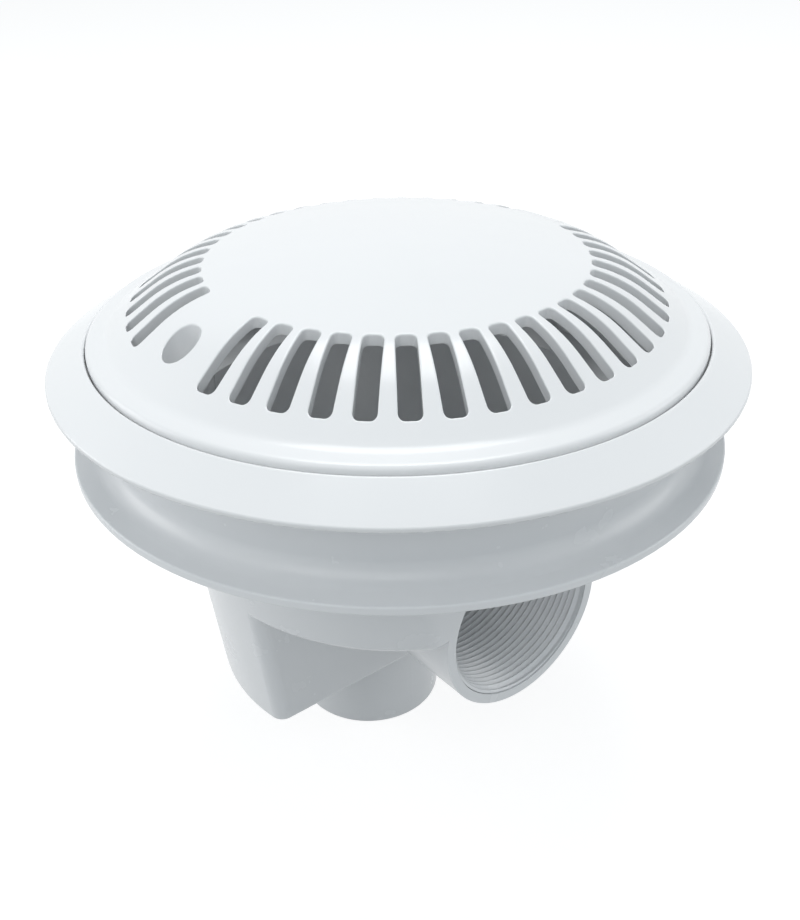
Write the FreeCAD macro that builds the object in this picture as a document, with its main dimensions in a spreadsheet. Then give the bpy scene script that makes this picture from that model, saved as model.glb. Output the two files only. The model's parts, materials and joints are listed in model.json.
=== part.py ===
import FreeCAD, Part
import math
import os

import Sketcher
from FreeCAD import Placement, Rotation, Vector

# Pool main drain, millimetres, +Z up.
# The vertical axis of the drain is the Z axis and the side outlet points along +X.
# Z = 0 is the lower end of the bottom outlet, the lowest point of the drain.
# Heights stack up from there and radii follow from the throat, each by a named step or clearance.

SIZES = [
    ("outlet_length", 41.5, "bottom outlet below the bucket"),
    ("outlet_shift", 23.0, "axis of the bottom outlet, away from the side outlet"),
    ("outlet_bore_radius", 23.9, "thread root of the bottom outlet"),
    ("outlet_wall", 4.1, "wall outside that"),
    ("wall", 3.5, "moulded wall"),
    ("floor_thickness", 4.0, "bucket floor"),
    ("port_bore_radius", 29.81, "thread root of the side outlet"),
    ("port_wall", 3.39, "wall outside that"),
    ("port_thread_length", 44.0, "threaded length of the side outlet"),
    ("port_way_step", 1.51, "plain way behind the thread inside its root"),
    ("port_above_bucket", 10.6, "underside of the side outlet over that of the bucket"),
    ("port_below_flange", 14.2, "top of the side outlet to the puddle flange"),
    ("shelf_lift", 4.3, "underside of the shelf over the side outlet's axis"),
    ("shelf_edge", 3.0, "lower edge of the shelf"),
    ("split_x", 16.0, "flat bucket wall"),
    ("bucket_corner", 5.0, "upright corners of the bucket"),
    ("bucket_edge", 1.5, "lower edge of the bucket"),
    ("mouth_corner", 8.0, "upright corners beside the mouth"),
    ("mouth_inset", 14.8, "mouth of the side outlet inside the cup's top radius"),
    ("cup_joint_drop", 7.0, "puddle flange to the joint between chamber and cup"),
    ("cup_inset", 19.0, "cup at the flange inside the throat"),
    ("cup_draft", 11.0, "narrowing of the cup down to the bucket's underside"),
    ("flange_thickness", 2.9, "puddle flange and chamber floor"),
    ("flange_overhang", 11.4, "puddle flange outside the throat"),
    ("flange_fillet", 4.0, "puddle flange into the cup"),
    ("groove_height", 29.3, "underside of the puddle flange to the ring's lip"),
    ("groove_fillet", 6.0, "groove wall into the flange"),
    ("throat_radius", 99.0, "groove wall at the rim"),
    ("throat_draft", 1.0, "narrowing of the groove wall down to the flange"),
    ("rim_rise", 0.5, "top of the sump rim over the ring's lip"),
    ("rim_width", 12.0, "rim of the sump, seal and ledge"),
    ("rim_thickness", 3.5, "rim plate of the sump"),
    ("gasket_thickness", 1.5, "flat seal, compressed"),
    ("gasket_hole_radius", 2.6, "screw hole in the seal"),
    ("ledge_thickness", 2.6, "ledge that carries the grate"),
    ("collar_height", 5.25, "ledge to the inner top edge of the frame ring"),
    ("ring_width", 13.1, "frame ring outside the grate"),
    ("ring_collar", 2.6, "collar round the grate"),
    ("lip_height", 1.7, "upright edge of the lip"),
    ("lip_width", 2.2, "flat under the lip"),
    ("shell_rise", 5.2, "underside of the sloping shell at the collar"),
    ("skirt_thickness", 2.2, "skirt that centres the ring on the sump"),
    ("skirt_depth", 5.0, "skirt below the ledge"),
    ("register_gap", 0.3, "sump rim to skirt"),
    ("lug_radius", 6.5, "boss of a grate screw"),
    ("lug_depth", 10.6, "height of that boss"),
    ("lug_rib", 1.5, "half the thickness of the rib behind that boss"),
    ("lug_gap", 0.5, "that rib to the sump rim"),
    ("frame_screw_count", 8, "screws of the frame ring"),
    ("first_frame_screw", 22.5, "place of the first of them, degrees"),
    ("frame_screw_inset", 6.5, "circle of the frame screws inside the throat"),
    ("frame_screw_radius", 2.1, "shank"),
    ("frame_screw_length", 14.0, "whole screw"),
    ("frame_head_radius", 4.2, "countersunk head"),
    ("frame_head_edge", 0.3, "upright edge of that head"),
    ("frame_hole_gap", 0.25, "shank to the ring's hole"),
    ("boss_radius", 5.0, "screw boss under the rim"),
    ("boss_depth", 14.0, "boss below the rim's top"),
    ("thread_gap", 0.05, "shank to its threaded hole"),
    ("grate_overlap", 2.4, "grate outside the throat"),
    ("grate_gap", 0.5, "grate to collar"),
    ("grate_edge_height", 6.45, "sharp corner of the grate's edge over the ledge"),
    ("grate_edge_fillet", 1.9, "rounding of that corner"),
    ("grate_wall", 3.4, "wall of the grate"),
    ("grate_rim_width", 6.64, "grate's edge to the foot of the dome"),
    ("rim_angle", 12.0, "slope of the grate's rim, degrees"),
    ("cove_arc_radius", 7.0, "hollow arc at the foot of the dome"),
    ("band_angle", 36.0, "slope of the slotted band, degrees"),
    ("shoulder_arc_radius", 44.0, "arc of the shoulder"),
    ("crown_arc_radius", 337.0, "arc of the crown"),
    ("crown_inset", 39.4, "end of the crown's large arc inside the grate's edge"),
    ("slot_start", 0.6, "inner end of a slot outside the crown"),
    ("slot_end", 13.6, "outer end of a slot inside the grate's edge"),
    ("slot_inner_share", 0.698, "width at the inner end, share of the pitch there"),
    ("slot_outer_share", 0.5465, "width at the outer end, share of the pitch there"),
    ("slot_corner_share", 0.31, "corner radius, share of the width at the inner end"),
    ("slot_pitch", 8.0, "angle between slots, degrees"),
    ("slots_per_side", 20, "slots between the two screw wells"),
    ("well_inset", 7.6, "circle of the grate screws inside the rim's opening"),
    ("well_radius", 6.0, "bore of a screw well"),
    ("well_wall", 2.4, "wall of a screw well"),
    ("well_floor", 3.4, "floor of a screw well"),
    ("well_margin", 2.1, "square piece of the dome round a screw well"),
    ("grate_screw_radius", 3.0, "shank of a grate screw"),
    ("grate_screw_length", 16.0, "shank below the head"),
    ("grate_screw_tip", 1.0, "chamfer of its tip"),
    ("grate_head_radius", 5.2, "pan head"),
    ("grate_head_height", 3.6, "pan head"),
    ("grate_head_edge", 1.4, "upright edge of that head"),
    ("grate_head_arc", 2.6, "arc of that head"),
    ("grate_hole_gap", 0.3, "shank to the well floor"),
    ("insert_radius", 4.2, "threaded brass insert"),
    ("insert_length", 8.0, "threaded brass insert"),
    ("insert_groove", 0.4, "depth and half the width of the grip groove"),
    ("insert_gap", 0.05, "insert to its boss"),
    ("drive_width", 1.2, "arm of a cross drive"),
    ("drive_reach", 0.55, "length of a drive arm, share of the head's radius"),
    ("drive_depth", 1.5, "depth of a cross drive"),
    ("edge_round", 0.7, "broken outer edges"),
]

PORT_RADIUS = "(Sizes.port_bore_radius + Sizes.port_wall)"
PORT_WAY = "(Sizes.port_bore_radius - Sizes.port_way_step)"
OUTLET_RADIUS = "(Sizes.outlet_bore_radius + Sizes.outlet_wall)"
BUCKET = "Sizes.outlet_length"
BUCKET_FLOOR = f"({BUCKET} + Sizes.floor_thickness)"
PORT_Z = f"({BUCKET} + Sizes.port_above_bucket + {PORT_RADIUS})"
SHELF = f"({PORT_Z} + Sizes.shelf_lift)"
FLANGE = f"({PORT_Z} + {PORT_RADIUS} + Sizes.port_below_flange)"
FLANGE_TOP = f"({FLANGE} + Sizes.flange_thickness)"
CUP_JOINT = f"({FLANGE} - Sizes.cup_joint_drop)"
LIP = f"({FLANGE} + Sizes.groove_height)"
RIM_TOP = f"({LIP} + Sizes.rim_rise)"
RIM_UNDER = f"({RIM_TOP} - Sizes.rim_thickness)"
SEAL_TOP = f"({RIM_TOP} + Sizes.gasket_thickness)"
SEAT = f"({SEAL_TOP} + Sizes.ledge_thickness)"
CREST = f"({SEAT} + Sizes.collar_height)"
GRATE_EDGE = f"({SEAT} + Sizes.grate_edge_height)"
WELL_SEAT = f"({SEAT} + Sizes.well_floor)"

THROAT_FOOT = "(Sizes.throat_radius - Sizes.throat_draft)"
FLANGE_RADIUS = "(Sizes.throat_radius + Sizes.flange_overhang)"
CUP_TOP = "(Sizes.throat_radius - Sizes.cup_inset)"
CUP_FOOT = f"({CUP_TOP} - Sizes.cup_draft)"
MOUTH_X = f"({CUP_TOP} - Sizes.mouth_inset)"
OUTLET_X = "-Sizes.outlet_shift"
RIM_INNER = "(Sizes.throat_radius - Sizes.rim_width)"
SCREW_CIRCLE = "(Sizes.throat_radius - Sizes.frame_screw_inset)"
WELL_CIRCLE = f"({RIM_INNER} - Sizes.well_inset)"
GRATE_RADIUS = "(Sizes.throat_radius + Sizes.grate_overlap)"
COLLAR = f"({GRATE_RADIUS} + Sizes.grate_gap)"
LIP_RADIUS = f"({COLLAR} + Sizes.ring_width)"
CROWN_RADIUS = f"({GRATE_RADIUS} - Sizes.crown_inset)"
SLOT_INNER = f"({CROWN_RADIUS} + Sizes.slot_start)"
SLOT_OUTER = f"({GRATE_RADIUS} - Sizes.slot_end)"
BACK_OF_SPLIT = "(Sizes.split_x - Sizes.wall)"
SEAT_HOLE = "(Sizes.grate_screw_radius + Sizes.grate_hole_gap)"
OVERRUN = 2.0
PLUS_Z = Vector(0, 0, 1)
QUARTER_TURN_TO_X = Rotation(Vector(0, 1, 0), 90)
WELL_ANGLES = (-90.0, 90.0)

doc = FreeCAD.newDocument("main_drain")
sheet = doc.addObject("Spreadsheet::Sheet", "Sizes")
for row, (alias, value, note) in enumerate(SIZES, start=1):
    sheet.set(f"A{row}", alias)
    sheet.set(f"B{row}", str(value))
    sheet.set(f"C{row}", note)
    sheet.setAlias(f"B{row}", alias)
doc.recompute()


def size(alias):
    """Value of one size of the sheet."""
    return float(sheet.get(alias))


def value_of(rule):
    """Number that an expression over the sheet gives now."""
    return float(sheet.evalExpression(rule))


def bind(obj, rules):
    """Bind properties of an object to expressions over the sheet."""
    for prop, rule in rules.items():
        obj.setExpression(prop, rule)
    return obj


def add(kind, name, rules):
    """Part object with its sizes bound to the sheet."""
    return bind(doc.addObject(kind, name), rules)


def post(name, radius, bottom, top, x="0", y="0"):
    """Upright cylinder between two heights."""
    return add("Part::Cylinder", name, {
        "Radius": radius,
        "Height": f"({top}) - ({bottom})",
        "Placement.Base.x": x,
        "Placement.Base.y": y,
        "Placement.Base.z": bottom,
    })


def taper(name, bottom_radius, top_radius, bottom, top):
    """Upright cone frustum on the drain's axis."""
    return add("Part::Cone", name, {
        "Radius1": bottom_radius,
        "Radius2": top_radius,
        "Height": f"({top}) - ({bottom})",
        "Placement.Base.z": bottom,
    })


def side_bar(name, radius, start, end):
    """Cylinder along X on the side outlet's axis, between two places on X."""
    bar = doc.addObject("Part::Cylinder", name)
    bar.Placement = Placement(Vector(0, 0, 0), QUARTER_TURN_TO_X)
    return bind(bar, {
        "Radius": radius,
        "Height": f"({end}) - ({start})",
        "Placement.Base.x": start,
        "Placement.Base.z": PORT_Z,
    })


def block(name, xs, ys, zs):
    """Box between two places on each axis."""
    return add("Part::Box", name, {
        "Length": f"({xs[1]}) - ({xs[0]})",
        "Width": f"({ys[1]}) - ({ys[0]})",
        "Height": f"({zs[1]}) - ({zs[0]})",
        "Placement.Base.x": xs[0],
        "Placement.Base.y": ys[0],
        "Placement.Base.z": zs[0],
    })


def join(name, shapes):
    """Union of several objects."""
    union = doc.addObject("Part::MultiFuse", name)
    union.Shapes = shapes
    union.Refine = True
    return union


def cut(name, base, tool):
    """Base without the tool."""
    result = doc.addObject("Part::Cut", name)
    result.Base = base
    result.Tool = tool
    result.Refine = True
    return result


def overlap(name, first, second):
    """What two objects share."""
    result = doc.addObject("Part::Common", name)
    result.Base = first
    result.Tool = second
    return result


def is_near(value, target, tolerance=0.02):
    """True when two lengths agree."""
    return abs(value - target) < tolerance


def level_edges(shape, height, reach=None, least=0.0):
    """Numbers of the edges at one height, within a reach from the axis and past a least radius."""
    found = []
    for number, edge in enumerate(shape.Edges, start=1):
        box = edge.BoundBox
        if not (is_near(box.ZMin, height) and is_near(box.ZMax, height)):
            continue
        radii = [math.hypot(point.x, point.y) for point in edge.discretize(5)]
        if (reach is None or max(radii) < reach) and max(radii) > least:
            found.append(number)
    return found


def upright_edges(shape, x):
    """Numbers of the edges that rise within the plane at one X."""
    found = []
    for number, edge in enumerate(shape.Edges, start=1):
        box = edge.BoundBox
        if is_near(box.XMin, x) and is_near(box.XMax, x) and box.ZLength > 2 * box.YLength:
            found.append(number)
    return found


def rounded(name, base, choices):
    """Fillet of the edges that each choice finds. A choice is a finder and the alias of a radius."""
    doc.recompute()
    fillet = doc.addObject("Part::Fillet", name)
    fillet.Base = base
    edges = []
    for find, alias in choices:
        numbers = find(base.Shape)
        if not numbers:
            raise RuntimeError(f"{name}: no edge found for {alias}")
        edges += [(number, size(alias), size(alias)) for number in numbers]
    fillet.Edges = edges
    return fillet


def origin_part(body, role):
    """One of the origin planes or axes of a body."""
    return next(feature for feature in body.Origin.OriginFeatures if feature.Role == role)


def new_body(name, base=None):
    """Body that may start from another object's shape."""
    body = doc.addObject("PartDesign::Body", name)
    if base is not None:
        body.BaseFeature = base
        doc.recompute()
    return body


def new_sketch(body, name, role, height=None, turn=None):
    """Sketch on an origin plane of its body, lifted and turned by expressions."""
    sketch = body.newObject("Sketcher::SketchObject", name)
    sketch.AttachmentSupport = [(origin_part(body, role), "")]
    sketch.MapMode = "FlatFace"
    if turn is not None:
        sketch.AttachmentOffset = Placement(Vector(0, 0, 0), Rotation(PLUS_Z, value_of(turn)))
        sketch.setExpression("AttachmentOffset.Rotation.Angle", turn)
    if height is not None:
        sketch.setExpression("AttachmentOffset.Base.z", height)
    return sketch


def hold(sketch, kind, item, end, rule):
    """Distance from the sketch's origin to the end of an item, as an expression."""
    index = sketch.addConstraint(Sketcher.Constraint(kind, -1, 1, item, end, value_of(rule)))
    sketch.setExpression(f"Constraints[{index}]", rule)


def hold_radius(sketch, item, rule):
    """Radius constraint whose value is an expression."""
    index = sketch.addConstraint(Sketcher.Constraint("Radius", item, value_of(rule)))
    sketch.setExpression(f"Constraints[{index}]", rule)


def short_arc(start, end, radius, side):
    """Short arc between two points, with its centre left (1) or right (-1) of the way."""
    chord = end - start
    across = Vector(-chord.y, chord.x, 0).normalize() * side
    half = chord.Length / 2
    centre = (start + end) / 2 + across * math.sqrt(max(radius * radius - half * half, 0))
    first, last = (start, end) if side > 0 else (end, start)
    turn_on = math.atan2(first.y - centre.y, first.x - centre.x)
    turn_off = math.atan2(last.y - centre.y, last.x - centre.x)
    if turn_off < turn_on:
        turn_off += 2 * math.pi
    return Part.ArcOfCircle(Part.Circle(centre, PLUS_Z, radius), turn_on, turn_off)


def outline(body, name, role, corners, height=None, turn=None):
    """Closed outline. A corner is (x, y) before a straight side, or (x, y, radius, side) before an arc."""
    sketch = new_sketch(body, name, role, height, turn)
    points = [Vector(value_of(corner[0]), value_of(corner[1]), 0) for corner in corners]
    ends = []
    for index, corner in enumerate(corners):
        start = points[index]
        end = points[(index + 1) % len(points)]
        if len(corner) == 2:
            ends.append((sketch.addGeometry(Part.LineSegment(start, end)), 1, 2))
            continue
        item = sketch.addGeometry(short_arc(start, end, value_of(corner[2]), corner[3]))
        ends.append((item, 1, 2) if corner[3] > 0 else (item, 2, 1))
    for index, (item, first, last) in enumerate(ends):
        follower, follower_first, _ = ends[(index + 1) % len(ends)]
        sketch.addConstraint(Sketcher.Constraint("Coincident", item, last, follower, follower_first))
    for corner, (item, first, _) in zip(corners, ends):
        hold(sketch, "DistanceX", item, first, corner[0])
        hold(sketch, "DistanceY", item, first, corner[1])
        if len(corner) > 2:
            hold_radius(sketch, item, corner[2])
    return sketch


def spin(body, name, corners):
    """Full turn of an outline about the body's upright axis."""
    sketch = outline(body, f"{name}_section", "XZ_Plane", corners)
    turned = body.newObject("PartDesign::Revolution", name)
    turned.Profile = sketch
    turned.ReferenceAxis = (sketch, ["V_Axis"])
    turned.Angle = 360
    body.Tip = turned
    return turned


def even_angles(count, first):
    """Even angles round the axis, as expressions."""
    return [f"({first} + {index} * 360 / {count})" for index in range(count)]


def on_circle(radius, angle):
    """Expressions of a point on a circle round the axis."""
    return f"{radius} * cos({angle})", f"{radius} * sin({angle})"


def cone_radius(height, low, low_radius, high, high_radius, inset="0"):
    """Radius of a tapered wall at a height, less an inset."""
    share = f"(({height}) - {low}) / ({high} - {low})"
    return f"({low_radius} + ({high_radius} - {low_radius}) * {share} - {inset})"


def cup_radius(height, inset="0"):
    """Radius of the cup at a height, less an inset."""
    return cone_radius(height, BUCKET, CUP_FOOT, FLANGE, CUP_TOP, inset)


def throat_radius(height, inset="0"):
    """Radius of the groove wall at a height, less an inset."""
    return cone_radius(height, FLANGE, THROAT_FOOT, RIM_TOP, "Sizes.throat_radius", inset)


def make_bucket():
    """Deep half of the cup, closed by a flat wall."""
    bowl = taper("bucket_bowl", CUP_FOOT, CUP_TOP, BUCKET, FLANGE)
    waste = block("bucket_waste", ("Sizes.split_x", FLANGE_RADIUS), (f"-{FLANGE_RADIUS}", FLANGE_RADIUS),
                  (f"{BUCKET} - {OVERRUN}", f"{FLANGE} + {OVERRUN}"))
    corners = rounded("bucket_corners", cut("bucket_half", bowl, waste), [
        (lambda shape: upright_edges(shape, size("split_x")), "bucket_corner"),
    ])
    return rounded("bucket", corners, [
        (lambda shape: level_edges(shape, value_of(BUCKET)), "bucket_edge"),
    ])


def make_shelf():
    """Shallow half of the cup, flat at the mouth of the side outlet."""
    bowl = taper("shelf_bowl", cup_radius(SHELF), CUP_TOP, SHELF, FLANGE)
    waste = block("shelf_waste", (MOUTH_X, FLANGE_RADIUS), (f"-{FLANGE_RADIUS}", FLANGE_RADIUS),
                  (f"{SHELF} - {OVERRUN}", f"{FLANGE} + {OVERRUN}"))
    corners = rounded("shelf_corners", cut("shelf_part", bowl, waste), [
        (lambda shape: upright_edges(shape, value_of(MOUTH_X)), "mouth_corner"),
    ])
    return rounded("shelf", corners, [
        (lambda shape: level_edges(shape, value_of(SHELF)), "shelf_edge"),
    ])


def make_chamber():
    """Outside of the round chamber with its puddle flange and anchor groove."""
    flange = rounded("flange_plate", post("flange_disc", FLANGE_RADIUS, FLANGE, FLANGE_TOP), [
        (lambda shape: level_edges(shape, value_of(FLANGE)), "edge_round"),
        (lambda shape: level_edges(shape, value_of(FLANGE_TOP)), "edge_round"),
    ])
    throat = taper("throat", THROAT_FOOT, "Sizes.throat_radius", FLANGE, RIM_TOP)
    chamber = join("chamber_outside", [flange, throat])
    return rounded("chamber_eased", chamber, [
        (lambda shape: level_edges(shape, value_of(FLANGE_TOP), reach=size("throat_radius")),
         "groove_fillet"),
    ])


def make_space():
    """Room inside the sump: chamber, rim opening and cup."""
    chamber = taper("chamber_space", throat_radius(FLANGE_TOP, "Sizes.wall"),
                    throat_radius(RIM_UNDER, "Sizes.wall"), FLANGE_TOP, RIM_UNDER)
    opening = post("rim_opening", RIM_INNER, f"{RIM_UNDER} - {OVERRUN}",
                   f"{RIM_TOP} + {OVERRUN}")
    top = f"({FLANGE_TOP} + {OVERRUN})"
    bowl = taper("bowl_space", cup_radius(BUCKET_FLOOR, "Sizes.wall"), cup_radius(top, "Sizes.wall"),
                 BUCKET_FLOOR, top)
    wide = (f"-{FLANGE_RADIUS}", FLANGE_RADIUS)
    under = block("under_shelf_space", (BACK_OF_SPLIT, FLANGE_RADIUS), wide,
                  (f"{BUCKET_FLOOR} - {OVERRUN}", f"{SHELF} + Sizes.wall"))
    past = block("past_mouth_space", (f"{MOUTH_X} - Sizes.wall", FLANGE_RADIUS), wide,
                 (f"{SHELF} - {OVERRUN}", f"{top} + {OVERRUN}"))
    cup = cut("cup_space", bowl, join("cup_space_waste", [under, past]))
    return join("sump_space", [chamber, opening, cup])


def make_sump():
    """Whole moulded sump with flange, side outlet, bottom outlet and screw bosses."""
    shell = join("sump_shell", [make_bucket(), make_shelf(), make_chamber()])
    eased = rounded("sump_eased", shell, [
        (lambda shape: level_edges(shape, value_of(FLANGE), reach=value_of(CUP_TOP) + 1), "flange_fillet"),
    ])
    stub = rounded("outlet_stub", post("outlet_post", OUTLET_RADIUS, "0",
                                       f"{BUCKET} + Sizes.floor_thickness / 2", x=OUTLET_X), [
        (lambda shape: level_edges(shape, 0.0), "edge_round"),
    ])
    hollow = cut("sump_hollow", join("sump_outside", [eased, stub]), make_space())
    pipe = side_bar("port_pipe", PORT_RADIUS, BACK_OF_SPLIT, MOUTH_X)
    bosses = []
    pilots = []
    count = int(size("frame_screw_count"))
    for number, angle in enumerate(even_angles(count, "Sizes.first_frame_screw"), start=1):
        x, y = on_circle(SCREW_CIRCLE, angle)
        bosses.append(post(f"boss_{number}", "Sizes.boss_radius", f"{RIM_TOP} - Sizes.boss_depth",
                           f"{RIM_UNDER} + Sizes.rim_thickness / 2", x, y))
        pilots.append(post(f"pilot_{number}", "Sizes.frame_screw_radius + Sizes.thread_gap",
                           f"{RIM_TOP} - Sizes.boss_depth - {OVERRUN}", f"{RIM_TOP} + {OVERRUN}", x, y))
    room = taper("boss_room", throat_radius(FLANGE, "Sizes.wall / 2"),
                 throat_radius(RIM_TOP, "Sizes.wall / 2"), FLANGE, RIM_TOP)
    walls = join("sump_walls", [hollow, pipe, overlap("bosses", join("boss_posts", bosses), room)])
    thread_end = f"({MOUTH_X} - Sizes.port_thread_length)"
    bores = join("sump_bores", [
        side_bar("port_thread_bore", "Sizes.port_bore_radius", thread_end, f"{MOUTH_X} + {OVERRUN}"),
        side_bar("port_way", PORT_WAY, f"{BACK_OF_SPLIT} - {OVERRUN}", f"{MOUTH_X} + {OVERRUN}"),
        post("outlet_bore", "Sizes.outlet_bore_radius", f"-{OVERRUN}", f"{BUCKET_FLOOR} + {OVERRUN}",
             x=OUTLET_X),
    ] + pilots)
    return cut("sump", walls, bores)


def make_sump_nodes():
    """The sump in five nodes that meet face to face, so that each keeps a simple shape."""
    sump = make_sump()
    wide = (f"-{FLANGE_RADIUS}", FLANGE_RADIUS)
    below = (f"-{OVERRUN}", CUP_JOINT)
    pipe_room = side_bar("side_room", PORT_RADIUS, BACK_OF_SPLIT, MOUTH_X)
    stub_room = post("stub_room", OUTLET_RADIUS, f"-{OVERRUN}", BUCKET_FLOOR, x=OUTLET_X)
    cup = overlap("cup", sump, block("cup_room", wide, wide, below))
    plain_cup = cut("plain_cup", cut("cup_less_side", cup, pipe_room), stub_room)
    above = (CUP_JOINT, f"{RIM_TOP} + {OVERRUN}")
    return [
        overlap("sump_chamber", sump, block("chamber_room", wide, wide, above)),
        overlap("sump_bucket", plain_cup, block("bucket_room", (f"-{FLANGE_RADIUS}", "Sizes.split_x"),
                                                wide, below)),
        overlap("sump_shelf", plain_cup, block("shelf_room", ("Sizes.split_x", FLANGE_RADIUS), wide, below)),
        overlap("side_outlet_pipe", cup, pipe_room),
        overlap("bottom_outlet_pipe", cup, stub_room),
    ]


def make_frame_gasket():
    """Flat seal between the sump rim and the frame ring."""
    disc = post("seal_disc", "Sizes.throat_radius", RIM_TOP, SEAL_TOP)
    holes = [post("seal_opening", RIM_INNER, f"{RIM_TOP} - {OVERRUN}",
                  f"{SEAL_TOP} + {OVERRUN}")]
    count = int(size("frame_screw_count"))
    for number, angle in enumerate(even_angles(count, "Sizes.first_frame_screw"), start=1):
        x, y = on_circle(SCREW_CIRCLE, angle)
        holes.append(post(f"seal_hole_{number}", "Sizes.gasket_hole_radius", f"{RIM_TOP} - {OVERRUN}",
                          f"{SEAL_TOP} + {OVERRUN}", x, y))
    return cut("frame_gasket", disc, join("seal_holes", holes))


def make_frame_ring():
    """Sloping ring with its ledge, skirt, screw holes and the two lugs of the grate screws."""
    section = new_body("ring_section")
    skirt_in = "(Sizes.throat_radius + Sizes.register_gap)"
    skirt_out = f"({skirt_in} + Sizes.skirt_thickness)"
    collar_out = f"({COLLAR} + Sizes.ring_collar)"
    spin(section, "ring_turned", [
        (COLLAR, CREST),
        (LIP_RADIUS, f"{LIP} + Sizes.lip_height"),
        (LIP_RADIUS, LIP),
        (f"{LIP_RADIUS} - Sizes.lip_width", LIP),
        (collar_out, f"{LIP} + Sizes.shell_rise"),
        (collar_out, SEAL_TOP),
        (skirt_out, SEAL_TOP),
        (skirt_out, f"{SEAL_TOP} - Sizes.skirt_depth"),
        (skirt_in, f"{SEAL_TOP} - Sizes.skirt_depth"),
        (skirt_in, SEAL_TOP),
        (RIM_INNER, SEAL_TOP),
        (RIM_INNER, SEAT),
        (COLLAR, SEAT),
    ])
    eased = rounded("ring_eased", section, [
        (lambda shape: level_edges(shape, value_of(f"{LIP} + Sizes.lip_height")), "edge_round"),
        (lambda shape: level_edges(shape, value_of(LIP), least=value_of(LIP_RADIUS) - 0.1), "edge_round"),
        (lambda shape: level_edges(shape, value_of(CREST)), "edge_round"),
    ])
    pieces = [eased]
    holes = []
    for number, angle in enumerate(WELL_ANGLES, start=1):
        x, y = on_circle(WELL_CIRCLE, angle)
        side = "-" if angle < 0 else ""
        near = f"{side}{WELL_CIRCLE}"
        pieces.append(post(f"lug_{number}", "Sizes.lug_radius", f"{SEAT} - Sizes.lug_depth", SEAT, x, y))
        reach = f"{side}({RIM_INNER} + Sizes.lug_rib)"
        web_ys = (near, reach) if angle > 0 else (reach, near)
        pieces.append(block(f"lug_web_{number}", ("-Sizes.lug_radius", "Sizes.lug_radius"), web_ys,
                            (SEAL_TOP, SEAT)))
        back = f"{side}({RIM_INNER} - Sizes.lug_gap)"
        rib_ys = (near, back) if angle > 0 else (back, near)
        pieces.append(block(f"lug_rib_{number}", ("-Sizes.lug_rib", "Sizes.lug_rib"), rib_ys,
                            (f"{SEAT} - Sizes.lug_depth", SEAT)))
        holes.append(post(f"insert_hole_{number}", "Sizes.insert_radius + Sizes.insert_gap",
                          f"{SEAT} - Sizes.insert_length", f"{SEAT} + {OVERRUN}", x, y))
        holes.append(post(f"lug_hole_{number}", SEAT_HOLE, f"{SEAT} - Sizes.lug_depth - {OVERRUN}",
                          f"{SEAT} + {OVERRUN}", x, y))
    hole_radius = "(Sizes.frame_screw_radius + Sizes.frame_hole_gap)"
    cone_top = f"({SEAT} - Sizes.frame_head_edge)"
    cone_foot = f"({cone_top} - Sizes.frame_head_radius + {hole_radius})"
    count = int(size("frame_screw_count"))
    for number, angle in enumerate(even_angles(count, "Sizes.first_frame_screw"), start=1):
        x, y = on_circle(SCREW_CIRCLE, angle)
        holes.append(post(f"ring_hole_{number}", hole_radius, f"{SEAL_TOP} - {OVERRUN}",
                          f"{SEAT} + {OVERRUN}", x, y))
        holes.append(post(f"head_room_{number}", "Sizes.frame_head_radius", cone_top,
                          f"{SEAT} + {OVERRUN}", x, y))
        holes.append(add("Part::Cone", f"countersink_{number}", {
            "Radius1": hole_radius,
            "Radius2": "Sizes.frame_head_radius",
            "Height": f"{cone_top} - {cone_foot}",
            "Placement.Base.x": x,
            "Placement.Base.y": y,
            "Placement.Base.z": cone_foot,
        }))
    return cut("frame_ring", join("ring_pieces", pieces), join("ring_holes", holes))


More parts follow.
